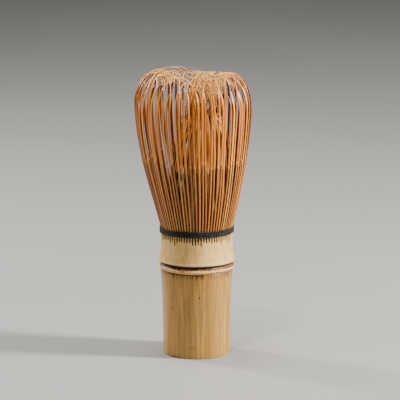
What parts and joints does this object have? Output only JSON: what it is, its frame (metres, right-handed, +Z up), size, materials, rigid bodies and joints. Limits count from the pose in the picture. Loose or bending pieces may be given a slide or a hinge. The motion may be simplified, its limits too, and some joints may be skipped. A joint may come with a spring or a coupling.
{
  "type": "bamboo tea whisk",
  "caption": "Hand whisk for powdered tea, split from one length of bamboo: hollow handle, node, black thread binding, and outer and inner rings of springy tines with curled tips.",
  "frame": {"origin": "centre of the foot, on the surface the whisk stands on", "axes": "+Z up along the culm to the tines; the thread's knot is at +Y"},
  "size_m": [0.0464, 0.0464, 0.1146],
  "materials": {
    "culm_skin": "satin bamboo skin, fine upright fibres",
    "node_scar": "rough brown scar of the node",
    "culm_inside": "matt pale inner bamboo",
    "tine_bamboo": "shaved bamboo, satin",
    "inner_tine_bamboo": "shaved bamboo, matt",
    "black_thread": "twisted black cotton"
  },
  "bodies": {
    "handle": {"handle_culm": "culm_skin", "node_ridge": "node_scar", "node_diaphragm": "culm_inside", "collar": "culm_skin", "root_comb": "tine_bamboo", "parting_thread": "black_thread", "binding_thread": "black_thread", "binding_knot": "black_thread"},
    "outer_split_01": {"outer_tines_01": "tine_bamboo"},
    "outer_split_02": {"outer_tines_02": "tine_bamboo"},
    "outer_split_03": {"outer_tines_03": "tine_bamboo"},
    "outer_split_04": {"outer_tines_04": "tine_bamboo"},
    "outer_split_05": {"outer_tines_05": "tine_bamboo"},
    "outer_split_06": {"outer_tines_06": "tine_bamboo"},
    "outer_split_07": {"outer_tines_07": "tine_bamboo"},
    "outer_split_08": {"outer_tines_08": "tine_bamboo"},
    "outer_split_09": {"outer_tines_09": "tine_bamboo"},
    "outer_split_10": {"outer_tines_10": "tine_bamboo"},
    "outer_split_11": {"outer_tines_11": "tine_bamboo"},
    "outer_split_12": {"outer_tines_12": "tine_bamboo"},
    "outer_split_13": {"outer_tines_13": "tine_bamboo"},
    "outer_split_14": {"outer_tines_14": "tine_bamboo"},
    "outer_split_15": {"outer_tines_15": "tine_bamboo"},
    "outer_split_16": {"outer_tines_16": "tine_bamboo"},
    "inner_split_1": {"inner_tines_01": "inner_tine_bamboo", "inner_tines_02": "inner_tine_bamboo"},
    "inner_split_2": {"inner_tines_03": "inner_tine_bamboo", "inner_tines_04": "inner_tine_bamboo"},
    "inner_split_3": {"inner_tines_05": "inner_tine_bamboo", "inner_tines_06": "inner_tine_bamboo"},
    "inner_split_4": {"inner_tines_07": "inner_tine_bamboo", "inner_tines_08": "inner_tine_bamboo"},
    "inner_split_5": {"inner_tines_09": "inner_tine_bamboo", "inner_tines_10": "inner_tine_bamboo"},
    "inner_split_6": {"inner_tines_11": "inner_tine_bamboo", "inner_tines_12": "inner_tine_bamboo"},
    "inner_split_7": {"inner_tines_13": "inner_tine_bamboo", "inner_tines_14": "inner_tine_bamboo"},
    "inner_split_8": {"inner_tines_15": "inner_tine_bamboo", "inner_tines_16": "inner_tine_bamboo"}
  },
  "joints": [
    {"name": "outer_flex_01", "type": "hinge", "parent": "handle", "child": "outer_split_01", "pos_m": [0.01385, 0, 0.052], "axis": [0, 1, 0], "range_deg": [-2.5, 5], "stiffness_Nm_per_rad": 0.006},
    {"name": "outer_flex_02", "type": "hinge", "parent": "handle", "child": "outer_split_02", "pos_m": [0.0128, 0.0053, 0.052], "axis": [-0.3827, 0.9239, 0], "range_deg": [-2.5, 5], "stiffness_Nm_per_rad": 0.006},
    {"name": "outer_flex_03", "type": "hinge", "parent": "handle", "child": "outer_split_03", "pos_m": [0.00979, 0.00979, 0.052], "axis": [-0.7071, 0.7071, 0], "range_deg": [-2.5, 5], "stiffness_Nm_per_rad": 0.006},
    {"name": "outer_flex_04", "type": "hinge", "parent": "handle", "child": "outer_split_04", "pos_m": [0.0053, 0.0128, 0.052], "axis": [-0.9239, 0.3827, 0], "range_deg": [-2.5, 5], "stiffness_Nm_per_rad": 0.006},
    {"name": "outer_flex_05", "type": "hinge", "parent": "handle", "child": "outer_split_05", "pos_m": [0, 0.01385, 0.052], "axis": [-1, 0, 0], "range_deg": [-2.5, 5], "stiffness_Nm_per_rad": 0.006},
    {"name": "outer_flex_06", "type": "hinge", "parent": "handle", "child": "outer_split_06", "pos_m": [-0.0053, 0.0128, 0.052], "axis": [-0.9239, -0.3827, 0], "range_deg": [-2.5, 5], "stiffness_Nm_per_rad": 0.006},
    {"name": "outer_flex_07", "type": "hinge", "parent": "handle", "child": "outer_split_07", "pos_m": [-0.00979, 0.00979, 0.052], "axis": [-0.7071, -0.7071, 0], "range_deg": [-2.5, 5], "stiffness_Nm_per_rad": 0.006},
    {"name": "outer_flex_08", "type": "hinge", "parent": "handle", "child": "outer_split_08", "pos_m": [-0.0128, 0.0053, 0.052], "axis": [-0.3827, -0.9239, 0], "range_deg": [-2.5, 5], "stiffness_Nm_per_rad": 0.006},
    {"name": "outer_flex_09", "type": "hinge", "parent": "handle", "child": "outer_split_09", "pos_m": [-0.01385, 0, 0.052], "axis": [0, -1, 0], "range_deg": [-2.5, 5], "stiffness_Nm_per_rad": 0.006},
    {"name": "outer_flex_10", "type": "hinge", "parent": "handle", "child": "outer_split_10", "pos_m": [-0.0128, -0.0053, 0.052], "axis": [0.3827, -0.9239, 0], "range_deg": [-2.5, 5], "stiffness_Nm_per_rad": 0.006},
    {"name": "outer_flex_11", "type": "hinge", "parent": "handle", "child": "outer_split_11", "pos_m": [-0.00979, -0.00979, 0.052], "axis": [0.7071, -0.7071, 0], "range_deg": [-2.5, 5], "stiffness_Nm_per_rad": 0.006},
    {"name": "outer_flex_12", "type": "hinge", "parent": "handle", "child": "outer_split_12", "pos_m": [-0.0053, -0.0128, 0.052], "axis": [0.9239, -0.3827, 0], "range_deg": [-2.5, 5], "stiffness_Nm_per_rad": 0.006},
    {"name": "outer_flex_13", "type": "hinge", "parent": "handle", "child": "outer_split_13", "pos_m": [0, -0.01385, 0.052], "axis": [1, 0, 0], "range_deg": [-2.5, 5], "stiffness_Nm_per_rad": 0.006},
    {"name": "outer_flex_14", "type": "hinge", "parent": "handle", "child": "outer_split_14", "pos_m": [0.0053, -0.0128, 0.052], "axis": [0.9239, 0.3827, 0], "range_deg": [-2.5, 5], "stiffness_Nm_per_rad": 0.006},
    {"name": "outer_flex_15", "type": "hinge", "parent": "handle", "child": "outer_split_15", "pos_m": [0.00979, -0.00979, 0.052], "axis": [0.7071, 0.7071, 0], "range_deg": [-2.5, 5], "stiffness_Nm_per_rad": 0.006},
    {"name": "outer_flex_16", "type": "hinge", "parent": "handle", "child": "outer_split_16", "pos_m": [0.0128, -0.0053, 0.052], "axis": [0.3827, 0.9239, 0], "range_deg": [-2.5, 5], "stiffness_Nm_per_rad": 0.006},
    {"name": "inner_flex_1", "type": "hinge", "parent": "handle", "child": "inner_split_1", "pos_m": [0.01104, 0.00457, 0.052], "axis": [-0.3827, 0.9239, 0], "range_deg": [-0.5, 3], "stiffness_Nm_per_rad": 0.006},
    {"name": "inner_flex_2", "type": "hinge", "parent": "handle", "child": "inner_split_2", "pos_m": [0.00457, 0.01104, 0.052], "axis": [-0.9239, 0.3827, 0], "range_deg": [-0.5, 3], "stiffness_Nm_per_rad": 0.006},
    {"name": "inner_flex_3", "type": "hinge", "parent": "handle", "child": "inner_split_3", "pos_m": [-0.00457, 0.01104, 0.052], "axis": [-0.9239, -0.3827, 0], "range_deg": [-0.5, 3], "stiffness_Nm_per_rad": 0.006},
    {"name": "inner_flex_4", "type": "hinge", "parent": "handle", "child": "inner_split_4", "pos_m": [-0.01104, 0.00457, 0.052], "axis": [-0.3827, -0.9239, 0], "range_deg": [-0.5, 3], "stiffness_Nm_per_rad": 0.006},
    {"name": "inner_flex_5", "type": "hinge", "parent": "handle", "child": "inner_split_5", "pos_m": [-0.01104, -0.00457, 0.052], "axis": [0.3827, -0.9239, 0], "range_deg": [-0.5, 3], "stiffness_Nm_per_rad": 0.006},
    {"name": "inner_flex_6", "type": "hinge", "parent": "handle", "child": "inner_split_6", "pos_m": [-0.00457, -0.01104, 0.052], "axis": [0.9239, -0.3827, 0], "range_deg": [-0.5, 3], "stiffness_Nm_per_rad": 0.006},
    {"name": "inner_flex_7", "type": "hinge", "parent": "handle", "child": "inner_split_7", "pos_m": [0.00457, -0.01104, 0.052], "axis": [0.9239, 0.3827, 0], "range_deg": [-0.5, 3], "stiffness_Nm_per_rad": 0.006},
    {"name": "inner_flex_8", "type": "hinge", "parent": "handle", "child": "inner_split_8", "pos_m": [0.01104, -0.00457, 0.052], "axis": [0.3827, 0.9239, 0], "range_deg": [-0.5, 3], "stiffness_Nm_per_rad": 0.006}
  ]
}
